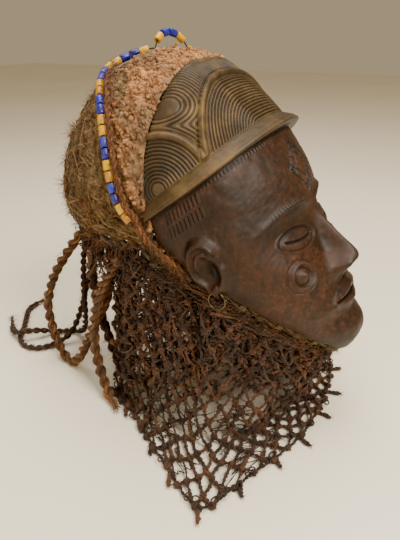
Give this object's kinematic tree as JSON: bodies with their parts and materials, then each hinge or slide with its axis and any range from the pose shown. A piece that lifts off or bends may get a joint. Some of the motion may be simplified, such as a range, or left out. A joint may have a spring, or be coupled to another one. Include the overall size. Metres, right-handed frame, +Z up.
{
  "type": "carved wooden mask",
  "caption": "Carved wooden face mask with grooved headdress, fibre cap, glass bead string, hanging braids and a knotted net collar.",
  "frame": {"origin": "centre of the object's bounding box without its hanging braids, on the table plane the net collar stands on", "axes": "+Z up, the face looks along -Y, +X towards the mask's own left"},
  "size_m": [0.303, 0.3526, 0.2823],
  "materials": {
    "carved_wood": "hand rubbed dark wood, satin",
    "bark_cloth": "coarse fibre cloth, matt",
    "clay_crust": "ochre clay and resin crust, matt",
    "light_cord": "twisted plant fibre",
    "thread": "thin dark thread",
    "blue_glass": "opaque drawn glass, glossy",
    "yellow_glass": "opaque drawn glass, glossy",
    "tan_cord": "bundled plant fibre",
    "net_fibre": "dark knotted plant fibre",
    "wire": "thin pale wire",
    "braid_fibre": "twisted plant fibre"
  },
  "bodies": {
    "mask": {"wooden_mask": "carved_wood", "fibre_cap": "bark_cloth", "crust_band": "clay_crust", "cap_hem_roll": "bark_cloth", "seam_rope": "light_cord", "corner_knots": "bark_cloth", "bead_string": "thread", "blue_beads": "blue_glass", "yellow_beads": "yellow_glass", "jaw_cord": "tan_cord", "jaw_lashings": "tan_cord", "fibre_net": "net_fibre", "hem_tassels": "net_fibre", "braid_loop": "braid_fibre", "braid_side": "braid_fibre", "braid_inner": "braid_fibre", "braid_tail_a": "braid_fibre", "braid_tail_b": "braid_fibre", "braid_knots": "braid_fibre"},
    "bead_arch": {"arch_string": "thread"},
    "arch_bead_1": {"arch_bead_1": "yellow_glass"},
    "arch_bead_2": {"arch_bead_2": "blue_glass"},
    "arch_bead_3": {"arch_bead_3": "blue_glass"},
    "arch_bead_4": {"arch_bead_4": "yellow_glass"},
    "ear_ring_right": {"ear_ring_right": "wire"},
    "ear_ring_left": {"ear_ring_left": "wire"}
  },
  "joints": [
    {"name": "bead_arch_swing", "type": "hinge", "parent": "mask", "child": "bead_arch", "pos_m": [0.00826, 0.04122, 0.26911], "axis": [0.9686, -0.2472, -0.026], "range_deg": [-30, 30]},
    {"name": "arch_bead_1_spin", "type": "hinge", "parent": "bead_arch", "child": "arch_bead_1", "pos_m": [-0.00171, 0.04596, 0.27605], "axis": [0.824, -0.0172, 0.5663], "continuous": true},
    {"name": "arch_bead_2_spin", "type": "hinge", "parent": "bead_arch", "child": "arch_bead_2", "pos_m": [0.00549, 0.04517, 0.27907], "axis": [0.9667, -0.1779, 0.1837], "continuous": true},
    {"name": "arch_bead_3_spin", "type": "hinge", "parent": "bead_arch", "child": "arch_bead_3", "pos_m": [0.01308, 0.04324, 0.27886], "axis": [0.9233, -0.3044, -0.2343], "continuous": true},
    {"name": "arch_bead_4_spin", "type": "hinge", "parent": "bead_arch", "child": "arch_bead_4", "pos_m": [0.01961, 0.04052, 0.27548], "axis": [0.7019, -0.3723, -0.6072], "continuous": true},
    {"name": "ear_ring_right_swing", "type": "hinge", "parent": "mask", "child": "ear_ring_right", "pos_m": [-0.0784, -0.03617, 0.1269], "axis": [0, 1, 0], "range_deg": [-12, 60]},
    {"name": "ear_ring_left_swing", "type": "hinge", "parent": "mask", "child": "ear_ring_left", "pos_m": [0.0784, -0.03617, 0.1269], "axis": [0, 1, 0], "range_deg": [-60, 12]}
  ]
}
